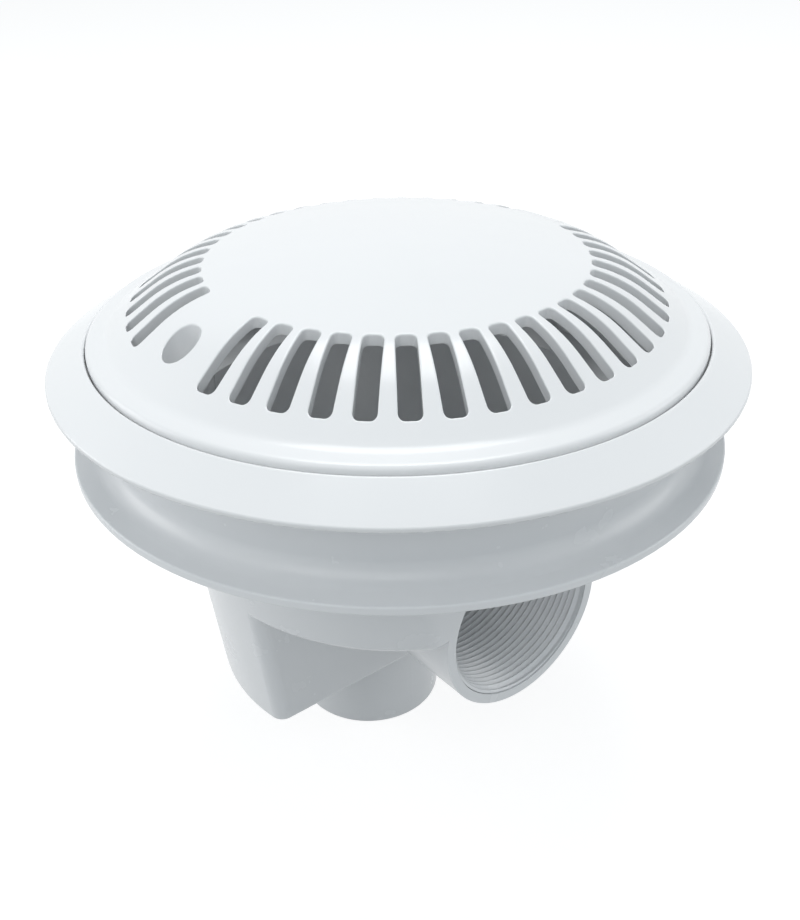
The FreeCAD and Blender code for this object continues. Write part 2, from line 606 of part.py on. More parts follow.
def dome_corners():
    """Expressions of the dome's profile, outside and inside, from the axis to the edge."""
    lean = f"asin({CROWN_RADIUS} / Sizes.crown_arc_radius)"
    band = "Sizes.band_angle"
    rim = "Sizes.rim_angle"
    crown = "Sizes.crown_arc_radius"
    crease_r = f"({GRATE_RADIUS} - Sizes.grate_rim_width)"
    crease_z = f"({GRATE_EDGE} + tan({rim}) * Sizes.grate_rim_width)"
    band_r = f"({CROWN_RADIUS} + Sizes.shoulder_arc_radius * (sin({band}) - sin({lean})))"
    band_z = f"({crease_z} + tan({band}) * ({crease_r} - {band_r}))"
    crown_z = f"({band_z} + Sizes.shoulder_arc_radius * (cos({lean}) - cos({band})))"
    apex_z = f"({crown_z} + {crown} * (1 - cos({lean})))"
    run = f"(Sizes.cove_arc_radius * tan(({band} - {rim}) / 2))"
    cove_r = f"({crease_r} - {run} * cos({band}))"
    cove_z = f"({crease_z} + {run} * sin({band}))"
    foot_r = f"({crease_r} + {run} * cos({rim}))"
    foot_z = f"({crease_z} - {run} * sin({rim}))"
    wall = "Sizes.grate_wall"
    inner_r = f"({GRATE_RADIUS} - {wall})"

    def inset(radius, height, angle):
        """Point one wall thickness under the surface."""
        return f"({radius} - {wall} * sin({angle}))", f"({height} - {wall} * cos({angle}))"

    in_crown_r, in_crown_z = inset(CROWN_RADIUS, crown_z, lean)
    in_band_r, in_band_z = inset(band_r, band_z, band)
    in_cove_r, in_cove_z = inset(cove_r, cove_z, band)
    in_foot_r, in_foot_z = inset(foot_r, foot_z, rim)
    outside = [
        ("0", apex_z, crown, -1),
        (CROWN_RADIUS, crown_z, "Sizes.shoulder_arc_radius", -1),
        (band_r, band_z),
        (cove_r, cove_z, "Sizes.cove_arc_radius", 1),
        (foot_r, foot_z),
        (GRATE_RADIUS, GRATE_EDGE),
        (GRATE_RADIUS, SEAT),
        ("0", SEAT),
    ]
    inside = [
        ("0", f"{apex_z} - {wall}", f"{crown} - {wall}", -1),
        (in_crown_r, in_crown_z, f"Sizes.shoulder_arc_radius - {wall}", -1),
        (in_band_r, in_band_z),
        (in_cove_r, in_cove_z, f"Sizes.cove_arc_radius + {wall}", 1),
        (in_foot_r, in_foot_z),
        (inner_r, f"{in_foot_z} - tan({rim}) * ({inner_r} - {in_foot_r})"),
        (inner_r, f"{SEAT} - {OVERRUN}"),
        ("0", f"{SEAT} - {OVERRUN}"),
    ]
    return outside, inside


def slot_corners():
    """Outline of one slot along +X, with rounded corners."""
    inner = SLOT_INNER
    outer = SLOT_OUTER
    pitch = "Sizes.slot_pitch * pi / 180"
    inner_width = f"({SLOT_INNER} * {pitch} * Sizes.slot_inner_share)"
    low = f"({inner_width} / 2)"
    high = f"({SLOT_OUTER} * {pitch} * Sizes.slot_outer_share / 2)"
    bend = f"({inner_width} * Sizes.slot_corner_share)"
    return [
        (f"{inner} + {bend}", f"-{low}"),
        (f"{outer} - {bend}", f"-{high}", bend, 1),
        (outer, f"-({high} - {bend})"),
        (outer, f"{high} - {bend}", bend, 1),
        (f"{outer} - {bend}", high),
        (f"{inner} + {bend}", low, bend, 1),
        (inner, f"{low} - {bend}"),
        (inner, f"-({low} - {bend})", bend, 1),
    ]


def make_grate():
    """Domed cover with radial slots, and its two screw wells as nodes of their own."""
    outside, inside = dome_corners()
    solid = new_body("dome_outside")
    spin(solid, "dome_outside_turned", outside)
    core = new_body("dome_inside")
    spin(core, "dome_inside_turned", inside)
    eased = rounded("dome_eased", solid, [
        (lambda shape: level_edges(shape, value_of(GRATE_EDGE)), "grate_edge_fillet"),
    ])
    posts = []
    bores = []
    for number, angle in enumerate(WELL_ANGLES, start=1):
        x, y = on_circle(WELL_CIRCLE, angle)
        top = outside[1][1]
        posts.append(post(f"well_post_{number}", "Sizes.well_radius + Sizes.well_wall", SEAT, top, x, y))
        bores.append(post(f"well_bore_{number}", "Sizes.well_radius", WELL_SEAT, top, x, y))
        bores.append(post(f"well_hole_{number}", SEAT_HOLE, f"{SEAT} - {OVERRUN}", top, x, y))
    wells = overlap("wells", join("well_posts", posts), eased)
    shell = join("dome_with_wells", [cut("dome_shell", eased, core), wells])
    blank = cut("grate_blank", shell, join("well_bores", bores))
    body = new_body("slotted_dome", blank)
    first = "-(Sizes.slots_per_side - 1) / 2 * Sizes.slot_pitch"
    sketch = outline(body, "slot_outline", "XY_Plane", slot_corners(), turn=first)
    pocket = body.newObject("PartDesign::Pocket", "slot")
    pocket.Profile = sketch
    pocket.Type = "ThroughAll"
    pocket.Reversed = True
    body.Tip = pocket
    doc.recompute()
    pattern = body.newObject("PartDesign::MultiTransform", "slots")
    pattern.Originals = [pocket]
    body.Tip = pattern
    side = body.newObject("PartDesign::PolarPattern", "slots_of_one_side")
    side.Axis = (origin_part(body, "Z_Axis"), [""])
    side.Angle = value_of("(Sizes.slots_per_side - 1) * Sizes.slot_pitch")
    side.Occurrences = int(size("slots_per_side"))
    side.setExpression("Angle", "(Sizes.slots_per_side - 1) * Sizes.slot_pitch")
    side.setExpression("Occurrences", "Sizes.slots_per_side")
    both = body.newObject("PartDesign::PolarPattern", "both_sides")
    both.Axis = (origin_part(body, "Z_Axis"), [""])
    both.Angle = 360
    both.Occurrences = 2
    pattern.Transformations = [side, both]
    reach = "(Sizes.well_radius + Sizes.well_wall + Sizes.well_margin)"
    rooms = []
    for number, angle in enumerate(WELL_ANGLES, start=1):
        x, y = on_circle(WELL_CIRCLE, angle)
        rooms.append(block(f"well_room_{number}", (f"-{reach}", reach), (f"{y} - {reach}", f"{y} + {reach}"),
                           (f"{SEAT} - {OVERRUN}", outside[0][1])))
    wells = [overlap(f"grate_well_{number}", body, room) for number, room in enumerate(rooms, start=1)]
    return [cut("grate", body, join("well_rooms", rooms))] + wells


def sink_cross(body, top, head_radius):
    """Cross drive sunk into the top of a screw's head."""
    arm = f"({head_radius} * Sizes.drive_reach)"
    half = "(Sizes.drive_width / 2)"
    sketch = outline(body, f"{body.Name}_drive", "XY_Plane", [
        (half, half),
        (half, arm),
        (f"-{half}", arm),
        (f"-{half}", half),
        (f"-{arm}", half),
        (f"-{arm}", f"-{half}"),
        (f"-{half}", f"-{half}"),
        (f"-{half}", f"-{arm}"),
        (half, f"-{arm}"),
        (half, f"-{half}"),
        (arm, f"-{half}"),
        (arm, half),
    ], height=top)
    pocket = body.newObject("PartDesign::Pocket", f"{body.Name}_drive_cut")
    pocket.Profile = sketch
    pocket.setExpression("Length", "Sizes.drive_depth")
    body.Tip = pocket
    return pocket


def place_on_circle(body, radius, angle):
    """Move a body from the drain's axis to its place on a circle."""
    x, y = on_circle(radius, angle)
    return bind(body, {"Placement.Base.x": x, "Placement.Base.y": y})


def make_frame_screws():
    """Countersunk screws of the frame ring."""
    screws = []
    cone_top = f"({SEAT} - Sizes.frame_head_edge)"
    cone_foot = f"({cone_top} - Sizes.frame_head_radius + Sizes.frame_screw_radius)"
    tip = f"({SEAT} - Sizes.frame_screw_length)"
    count = int(size("frame_screw_count"))
    for number, angle in enumerate(even_angles(count, "Sizes.first_frame_screw"), start=1):
        body = new_body(f"frame_screw_{number}")
        spin(body, f"frame_screw_{number}_turned", [
            ("0", SEAT),
            ("Sizes.frame_head_radius", SEAT),
            ("Sizes.frame_head_radius", cone_top),
            ("Sizes.frame_screw_radius", cone_foot),
            ("Sizes.frame_screw_radius", f"{tip} + Sizes.frame_screw_radius"),
            ("0", tip),
        ])
        sink_cross(body, SEAT, "Sizes.frame_head_radius")
        screws.append(place_on_circle(body, SCREW_CIRCLE, angle))
    return screws


def make_screw_inserts():
    """Threaded brass inserts in the lugs of the frame ring."""
    inserts = []
    bore = "(Sizes.grate_screw_radius + Sizes.thread_gap)"
    middle = f"({SEAT} - Sizes.insert_length / 2)"
    waist = "(Sizes.insert_radius - Sizes.insert_groove)"
    for number, angle in enumerate(WELL_ANGLES, start=1):
        body = new_body(f"screw_insert_{number}")
        spin(body, f"screw_insert_{number}_turned", [
            (bore, SEAT),
            ("Sizes.insert_radius", SEAT),
            ("Sizes.insert_radius", f"{middle} + 2 * Sizes.insert_groove"),
            (waist, f"{middle} + Sizes.insert_groove"),
            (waist, f"{middle} - Sizes.insert_groove"),
            ("Sizes.insert_radius", f"{middle} - 2 * Sizes.insert_groove"),
            ("Sizes.insert_radius", f"{SEAT} - Sizes.insert_length"),
            (bore, f"{SEAT} - Sizes.insert_length"),
        ])
        inserts.append(place_on_circle(body, WELL_CIRCLE, angle))
    return inserts


def make_grate_screws():
    """Pan-head screws that hold the grate down."""
    screws = []
    top = f"({WELL_SEAT} + Sizes.grate_head_height)"
    tip = f"({WELL_SEAT} - Sizes.grate_screw_length)"
    flat = "(Sizes.grate_head_radius - Sizes.grate_head_height + Sizes.grate_head_edge)"
    for number, angle in enumerate(WELL_ANGLES, start=1):
        body = new_body(f"grate_screw_{number}")
        spin(body, f"grate_screw_{number}_turned", [
            ("0", top),
            (flat, top, "Sizes.grate_head_arc", -1),
            ("Sizes.grate_head_radius", f"{WELL_SEAT} + Sizes.grate_head_edge"),
            ("Sizes.grate_head_radius", WELL_SEAT),
            ("Sizes.grate_screw_radius", WELL_SEAT),
            ("Sizes.grate_screw_radius", f"{tip} + Sizes.grate_screw_tip"),
            ("Sizes.grate_screw_radius - Sizes.grate_screw_tip", tip),
            ("0", tip),
        ])
        sink_cross(body, top, "Sizes.grate_head_radius")
        screws.append(place_on_circle(body, WELL_CIRCLE, angle))
    return screws


def check_document():
    """Stop when any object of the document failed."""
    for obj in doc.Objects:
        for state in ("Invalid", "Error"):
            if state in obj.State:
                raise RuntimeError(f"{obj.Name} is {state}")


def export_nodes(nodes):
    """Write each sub-part to its own file in the row's frame."""
    os.makedirs("parts", exist_ok=True)
    for node in nodes:
        node.Label = node.Name
        shape = node.Shape
        if shape.isNull() or not shape.isValid():
            raise RuntimeError(f"{node.Name} has no valid shape")
        if len(shape.Solids) != 1:
            raise RuntimeError(f"{node.Name} has {len(shape.Solids)} solids")
        box = shape.BoundBox
        print(f"{node.Label}: volume {shape.Volume:.1f} x {box.XMin:.2f} {box.XMax:.2f}"
              f" y {box.YMin:.2f} {box.YMax:.2f} z {box.ZMin:.2f} {box.ZMax:.2f}")
    for node in nodes:
        node.Shape.exportStep(f"parts/{node.Label}.step")


nodes = make_sump_nodes() + [make_frame_gasket(), make_frame_ring()]
nodes += make_frame_screws()
nodes += make_screw_inserts()
nodes += make_grate()
nodes += make_grate_screws()
doc.recompute()
check_document()
export_nodes(nodes)
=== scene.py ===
"""Looks of the pool main drain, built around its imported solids."""

import json
import logging
import math
from dataclasses import dataclass
from enum import Enum
from typing import Sequence

import bmesh
import bpy
from mathutils import Matrix, Vector


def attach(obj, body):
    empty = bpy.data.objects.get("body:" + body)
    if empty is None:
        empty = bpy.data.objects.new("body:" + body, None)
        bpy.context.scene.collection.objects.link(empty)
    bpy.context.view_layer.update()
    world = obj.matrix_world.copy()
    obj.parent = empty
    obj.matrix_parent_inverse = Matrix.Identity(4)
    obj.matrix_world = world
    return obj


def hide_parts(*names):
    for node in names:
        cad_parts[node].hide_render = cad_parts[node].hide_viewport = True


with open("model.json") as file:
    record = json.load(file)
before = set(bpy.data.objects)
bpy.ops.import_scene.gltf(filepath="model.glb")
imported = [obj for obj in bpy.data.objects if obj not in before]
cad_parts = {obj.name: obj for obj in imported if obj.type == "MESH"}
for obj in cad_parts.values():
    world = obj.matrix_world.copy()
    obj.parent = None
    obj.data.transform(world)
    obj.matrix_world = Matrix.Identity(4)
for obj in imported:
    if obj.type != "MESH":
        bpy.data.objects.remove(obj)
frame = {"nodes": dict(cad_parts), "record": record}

logging.basicConfig(level=logging.INFO, format="%(message)s")
LOG = logging.getLogger("main_drain")

MM = 0.001
BODY = "root"

Color = tuple[float, float, float, float]
Point = tuple[float, float]


class Slot(Enum):
    """Material slots of the record."""

    SUMP = "sump_plastic"
    COVER = "cover_plastic"
    SEAL = "seal_rubber"
    STEEL = "screw_steel"
    BRASS = "insert_brass"


@dataclass(frozen=True)
class Finish:
    """Numbers of one material.

    Attributes:
        color: Base colour, linear, with alpha.
        dark: Colour of the faint cloudy variation.
        roughness: Middle roughness of the surface.
        roughness_spread: How far the roughness wanders up and down.
        metallic: One for bare metal.
        grain: Noise cells per metre of the fine surface texture.
        stretch: Stretch of the texture along X, Y and Z.
        bump: Height of the fine texture, in metres.
    """

    color: Color
    dark: Color
    roughness: float
    roughness_spread: float = 0.04
    metallic: float = 0.0
    grain: float = 900.0
    stretch: tuple[float, float, float] = (1.0, 1.0, 1.0)
    bump: float = 0.00003


FINISHES: dict[Slot, Finish] = {
    Slot.SUMP: Finish((0.82, 0.83, 0.84, 1), (0.81, 0.821, 0.832, 1), 0.27,
                      roughness_spread=0.012, bump=0.00003),
    Slot.COVER: Finish((0.84, 0.845, 0.85, 1), (0.83, 0.836, 0.842, 1), 0.21,
                       roughness_spread=0.015, bump=0.00001),
    Slot.SEAL: Finish((0.02, 0.02, 0.022, 1), (0.03, 0.03, 0.032, 1), 0.7, grain=2500.0),
    Slot.STEEL: Finish((0.62, 0.63, 0.64, 1), (0.5, 0.51, 0.52, 1), 0.3, metallic=1.0,
                       grain=2500.0, stretch=(1.0, 1.0, 0.1), bump=0.00001),
    Slot.BRASS: Finish((0.78, 0.58, 0.28, 1), (0.6, 0.42, 0.18, 1), 0.32, metallic=1.0,
                       grain=2500.0, stretch=(1.0, 1.0, 0.1), bump=0.00001),
}


class MaterialMaker:
    """Procedural materials from the finishes, one per slot."""

    def __init__(self, finishes: dict[Slot, Finish]) -> None:
        self._finishes = finishes
        self._made: dict[Slot, bpy.types.Material] = {}

    def get(self, slot: Slot) -> bpy.types.Material:
        """Material of a slot, made on first use."""
        if slot not in self._made:
            self._made[slot] = self._make(slot.value, self._finishes[slot])
        return self._made[slot]

    def _make(self, name: str, finish: Finish) -> bpy.types.Material:
        """Build the node tree of one finish.

        Args:
            name: Name of the material.
            finish: Its numbers.

        Returns:
            The material.
        """
        material = bpy.data.materials.new(name)
        material.use_nodes = True
        tree = material.node_tree
        shader = tree.nodes["Principled BSDF"]
        shader.inputs["Metallic"].default_value = finish.metallic
        place = tree.nodes.new("ShaderNodeTexCoord")
        mapping = tree.nodes.new("ShaderNodeMapping")
        mapping.inputs["Scale"].default_value = finish.stretch
        tree.links.new(place.outputs["Object"], mapping.inputs["Vector"])
        clouds = self._noise(tree, mapping, 18.0, 3.0)
        tint = tree.nodes.new("ShaderNodeValToRGB")
        tint.color_ramp.elements[0].position = 0.35
        tint.color_ramp.elements[1].position = 0.65
        tint.color_ramp.elements[0].color = finish.dark
        tint.color_ramp.elements[1].color = finish.color
        tree.links.new(clouds.outputs["Fac"], tint.inputs["Fac"])
        tree.links.new(tint.outputs["Color"], shader.inputs["Base Color"])
        patches = self._noise(tree, mapping, 60.0, 4.0)
        gloss = tree.nodes.new("ShaderNodeMapRange")
        gloss.inputs["To Min"].default_value = finish.roughness - finish.roughness_spread
        gloss.inputs["To Max"].default_value = finish.roughness + finish.roughness_spread
        tree.links.new(patches.outputs["Fac"], gloss.inputs["Value"])
        tree.links.new(gloss.outputs["Result"], shader.inputs["Roughness"])
        grain = self._noise(tree, mapping, finish.grain, 2.0)
        bump = tree.nodes.new("ShaderNodeBump")
        bump.inputs["Strength"].default_value = 0.5
        bump.inputs["Distance"].default_value = finish.bump
        tree.links.new(grain.outputs["Fac"], bump.inputs["Height"])
        tree.links.new(bump.outputs["Normal"], shader.inputs["Normal"])
        return material

    @staticmethod
    def _noise(tree: bpy.types.NodeTree, mapping: bpy.types.Node, scale: float,
               detail: float) -> bpy.types.Node:
        """Noise texture on the object's own coordinates."""
        noise = tree.nodes.new("ShaderNodeTexNoise")
        noise.inputs["Scale"].default_value = scale
        noise.inputs["Detail"].default_value = detail
        tree.links.new(mapping.outputs["Vector"], noise.inputs["Vector"])
        return noise


@dataclass(frozen=True)
class LampSizes:
    """Square soft lamp aimed at the object.

    Attributes:
        name: Name of the lamp.
        direction: Azimuth and elevation of the lamp, in degrees.
        distance: Distance from the object, in metres.
        size: Side of the lamp, in metres.
        power: Power in watts.
    """

    name: str
    direction: Point
    distance: float
    size: float
    power: float


class Studio:
    """Floor, world, lamps and the fixed camera."""

    TARGET = Vector((0.0, 0.0, 0.162))
    CAMERA_AZIMUTH = math.radians(-38.0)
    CAMERA_RISE = math.radians(24.26)
    CAMERA_DISTANCE = 0.3763
    CAMERA_DIP = math.radians(30.28)
    CAMERA_ROLL = math.radians(1.03)
    CAMERA_LENS = 43.357
    LAMPS = (
        LampSizes("overhead", (142.0, 78.0), 1.5, 0.9, 11.0),
        LampSizes("front", (-55.0, 42.0), 1.6, 1.4, 6.5),
        LampSizes("left", (-135.0, 14.0), 1.7, 1.0, 7.0),
        LampSizes("right", (55.0, 18.0), 1.7, 1.0, 5.0),
    )
    SKY_COLOR: Color = (0.84, 0.94, 1.0, 1)
    SKY_STRENGTH = 0.42
    FLOOR_GLOW = 0.8
    FLOOR_SHADE = 0.34
    FLOOR_BOUNCE = 0.52

    def build(self) -> None:
        """Make everything round the object."""
        scene = bpy.context.scene
        scene.view_settings.view_transform = "Standard"
        self._camera()
        self._world()
        self._floor()
        for lamp in self.LAMPS:
            self._lamp(lamp)

    def _camera(self) -> None:
        """Place the camera where the photo was taken from."""
        data = bpy.data.cameras.new("camera")
        data.lens = self.CAMERA_LENS
        data.sensor_width = 36.0
        data.clip_start = 0.01
        camera = bpy.data.objects.new("camera", data)
        bpy.context.scene.collection.objects.link(camera)
        level = Vector((math.cos(self.CAMERA_AZIMUTH), math.sin(self.CAMERA_AZIMUTH), 0.0))
        place = self.TARGET + self.CAMERA_DISTANCE * (
            level * math.cos(self.CAMERA_RISE) + Vector((0, 0, math.sin(self.CAMERA_RISE))))
        ahead = -level * math.cos(self.CAMERA_DIP) - Vector((0, 0, math.sin(self.CAMERA_DIP)))
        right = ahead.cross(Vector((0, 0, 1))).normalized()
        above = right.cross(ahead)
        turned_right = right * math.cos(self.CAMERA_ROLL) - above * math.sin(self.CAMERA_ROLL)
        turned_above = right * math.sin(self.CAMERA_ROLL) + above * math.cos(self.CAMERA_ROLL)
        turn = Matrix((turned_right, turned_above, -ahead)).transposed()
        camera.matrix_world = Matrix.Translation(place) @ turn.to_4x4()
        bpy.context.scene.camera = camera

    @staticmethod
    def _seen(tree: bpy.types.NodeTree) -> bpy.types.NodeSocket:
        """One for rays of the camera, of gloss and of glass, else zero."""
        path = tree.nodes.new("ShaderNodeLightPath")
        total = path.outputs["Is Camera Ray"]
        for name in ("Is Glossy Ray", "Is Transmission Ray"):
            add = tree.nodes.new("ShaderNodeMath")
            add.operation = "ADD"
            add.use_clamp = True
            tree.links.new(total, add.inputs[0])
            tree.links.new(path.outputs[name], add.inputs[1])
            total = add.outputs["Value"]
        return total

    def _world(self) -> None:
        """White where it is seen, softer for the light it gives."""
        world = bpy.data.worlds.new("world")
        world.use_nodes = True
        bpy.context.scene.world = world
        tree = world.node_tree
        background = tree.nodes["Background"]
        background.inputs["Color"].default_value = self.SKY_COLOR
        background.inputs["Strength"].default_value = self.SKY_STRENGTH
        white = tree.nodes.new("ShaderNodeBackground")
        white.inputs["Color"].default_value = (1, 1, 1, 1)
        mix = tree.nodes.new("ShaderNodeMixShader")
        tree.links.new(self._seen(tree), mix.inputs["Fac"])
        tree.links.new(background.outputs["Background"], mix.inputs[1])
        tree.links.new(white.outputs["Background"], mix.inputs[2])
        tree.links.new(mix.outputs["Shader"], tree.nodes["World Output"].inputs["Surface"])

    def _floor(self) -> None:
        """Pale floor under the drain, white where it is lit and grey in the drain's shadow."""
        mesh = bpy.data.meshes.new("floor")
        form = bmesh.new()
        bmesh.ops.create_grid(form, x_segments=1, y_segments=1, size=6.0)
        form.to_mesh(mesh)
        form.free()
        floor = bpy.data.objects.new("floor", mesh)
        bpy.context.scene.collection.objects.link(floor)
        material = bpy.data.materials.new("floor")
        material.use_nodes = True
        tree = material.node_tree
        tree.nodes.remove(tree.nodes["Principled BSDF"])
        matt = self._diffuse(tree, self.FLOOR_BOUNCE)
        shade = self._diffuse(tree, self.FLOOR_SHADE)
        glow = tree.nodes.new("ShaderNodeEmission")
        glow.inputs["Strength"].default_value = self.FLOOR_GLOW
        seen = tree.nodes.new("ShaderNodeAddShader")
        tree.links.new(shade.outputs["BSDF"], seen.inputs[0])
        tree.links.new(glow.outputs["Emission"], seen.inputs[1])
        mix = tree.nodes.new("ShaderNodeMixShader")
        tree.links.new(self._seen(tree), mix.inputs["Fac"])
        tree.links.new(matt.outputs["BSDF"], mix.inputs[1])
        tree.links.new(seen.outputs["Shader"], mix.inputs[2])
        tree.links.new(mix.outputs["Shader"], tree.nodes["Material Output"].inputs["Surface"])
        floor.data.materials.append(material)

    @staticmethod
    def _diffuse(tree: bpy.types.NodeTree, level: float) -> bpy.types.Node:
        """Matt grey shader."""
        shader = tree.nodes.new("ShaderNodeBsdfDiffuse")
        shader.inputs["Color"].default_value = (level, level, level, 1)
        return shader

    def _lamp(self, sizes: LampSizes) -> None:
        """Hang one lamp."""
        data = bpy.data.lights.new(sizes.name, "AREA")
        data.size = sizes.size
        data.energy = sizes.power
        lamp = bpy.data.objects.new(sizes.name, data)
        bpy.context.scene.collection.objects.link(lamp)
        azimuth, elevation = (math.radians(value) for value in sizes.direction)
        aim = Vector((math.cos(azimuth) * math.cos(elevation),
                      math.sin(azimuth) * math.cos(elevation), math.sin(elevation)))
        lamp.location = self.TARGET + aim * sizes.distance
        lamp.rotation_euler = aim.to_track_quat("Z", "Y").to_euler()


class Shop:
    """Turns bmesh forms into pieces that ride on the drain."""

    def __init__(self, materials: MaterialMaker) -> None:
        self._materials = materials

    def piece(self, name: str, form: bmesh.types.BMesh, slot: Slot, smooth: bool = True,
              replaces: Sequence[str] = ()) -> bpy.types.Object:
        """Make an object of a form.

        Args:
            name: Name of the piece.
            form: Its mesh, freed here.
            slot: Material slot it takes its finish from.
            smooth: True for smooth shading.
            replaces: CAD nodes that it stands for.

        Returns:
            The new object.
        """
        mesh = bpy.data.meshes.new(name)
        bmesh.ops.recalc_face_normals(form, faces=form.faces)
        for face in form.faces:
            face.smooth = smooth
        form.to_mesh(mesh)
        form.free()
        piece = bpy.data.objects.new(name, mesh)
        bpy.context.scene.collection.objects.link(piece)
        mesh.materials.append(self._materials.get(slot))
        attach(piece, BODY)
        if replaces:
            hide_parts(*replaces)
        return piece

    def dress_nodes(self) -> None:
        """Give each CAD node the material of its slot."""
        slots = {entry["node"]: entry["material_slot"] for entry in frame["record"]["subparts"]}
        for name, node in frame["nodes"].items():
            material = self._materials.get(Slot(slots[name]))
            node.data.materials.clear()
            node.data.materials.append(material)


@dataclass(frozen=True)
class ThreadSizes:
    """Inner pipe thread, in millimetres.

    Attributes:
        root: Radius of the bore that the ridges stand on.
        crest: Radius at the top of the ridges.
        pitch: Distance between ridges.
        length: Length of the threaded stretch.
        mouth: Place of the thread's first turn.
        into: Direction from the mouth into the pipe.
        side: A direction across the pipe.
    """

    root: float
    crest: float
    pitch: float
    length: float
    mouth: tuple[float, float, float]
    into: tuple[float, float, float]
    side: tuple[float, float, float]


class PipeThread:
    """Helical ridges inside a threaded outlet."""

    SEGMENTS = 160
    SECTION = ((-0.5, 0.0), (-0.42, 0.04), (-0.12, 0.9), (-0.05, 1.0), (0.05, 1.0), (0.12, 0.9),
               (0.42, 0.04), (0.5, 0.0))
    FADE_TURNS = 0.5

    def __init__(self, sizes: ThreadSizes) -> None:
        self._sizes = sizes

    def form(self) -> bmesh.types.BMesh:
        """Mesh of the ridges, right-handed, faded at both ends."""
        sizes = self._sizes
        along = Vector(sizes.into)
        side = Vector(sizes.side)
        other = along.cross(side)
        turns = sizes.length / sizes.pitch
        steps = int(turns * self.SEGMENTS)
        form = bmesh.new()
        rows = []
        for step in range(steps + 1):
            turn = step / self.SEGMENTS
            angle = 2 * math.pi * turn
            fade = min(1.0, turn / self.FADE_TURNS, (turns - turn) / self.FADE_TURNS)
            height = (sizes.root - sizes.crest) * max(fade, 0.0)
            row = []
            for offset, rise in self.SECTION:
                radius = sizes.root - height * rise
                travel = min(max(sizes.pitch * (turn + offset), 0.0), sizes.length)
                point = (Vector(sizes.mouth) + along * travel
                         + radius * (side * math.cos(angle) + other * math.sin(angle)))
                row.append(form.verts.new(point * MM))
            rows.append(row)
        for row, follower in zip(rows, rows[1:]):
            for index in range(len(row) - 1):
                form.faces.new((row[index], row[index + 1], follower[index + 1], follower[index]))
        mark_sharp(form, math.radians(25.0))
        return form


COVER_NODES = ("grate", "grate_well_1", "grate_well_2")
SIDE_THREAD = ThreadSizes(root=29.62, crest=28.33, pitch=2.309, length=43.0, mouth=(64.7, 0.0, 85.3),
                          into=(-1.0, 0.0, 0.0), side=(0.0, 1.0, 0.0))
BOTTOM_THREAD = ThreadSizes(root=23.72, crest=22.42, pitch=2.309, length=33.0, mouth=(-23.0, 0.0, 0.6),
                            into=(0.0, 0.0, 1.0), side=(1.0, 0.0, 0.0))


@dataclass(frozen=True)
class CoverSizes:
    """Domed cover, in millimetres and radians, as the solid has it.

    Attributes:
        seat: Height of the ledge that it stands on.
        edge_radius: Outer edge.
        edge_height: Sharp corner of that edge.
        edge_round: Rounding of that corner.
        wall: Thickness.
        rim_slope: Slope of the rim.
        band_slope: Slope of the slotted band.
        rim_width: Edge to the foot of the dome.
        cove: Hollow arc at that foot.
        shoulder: Arc between band and crown.
        crown: Arc of the crown.
        crown_radius: End of that arc.
        slot_inner: Inner end of a slot.
        slot_outer: Outer end of a slot.
        slot_widths: Width at both ends.
        slot_corner: Corner radius of a slot.
        slot_step: Angle between slots.
        slots: Slots of one side.
        edge_break: Rounding round slots and wells.
        well_circle: Radius of the wells' circle.
        well_bore: Radius of a well.
        well_outer: Outside of a well's wall.
        well_seat: Height of a well's floor.
        screw_hole: Radius of the hole in that floor.
        patch: Inner and outer radius of the slotted zone.
    """

    seat: float = 166.6
    edge_radius: float = 101.4
    edge_height: float = 173.05
    edge_round: float = 1.9
    wall: float = 3.4
    rim_slope: float = math.radians(12.0)
    band_slope: float = math.radians(36.0)
    rim_width: float = 6.64
    cove: float = 7.0
    shoulder: float = 44.0
    crown: float = 337.0
    crown_radius: float = 62.0
    slot_inner: float = 62.6
    slot_outer: float = 87.8
    slot_widths: Point = (6.1, 6.7)
    slot_corner: float = 1.9
    slot_step: float = math.radians(8.0)
    slots: int = 20
    edge_break: float = 0.45
    well_circle: float = 79.4
    well_bore: float = 6.0
    well_outer: float = 8.4
    well_seat: float = 170.0
    screw_hole: float = 3.3
    patch: Point = (59.8, 90.6)


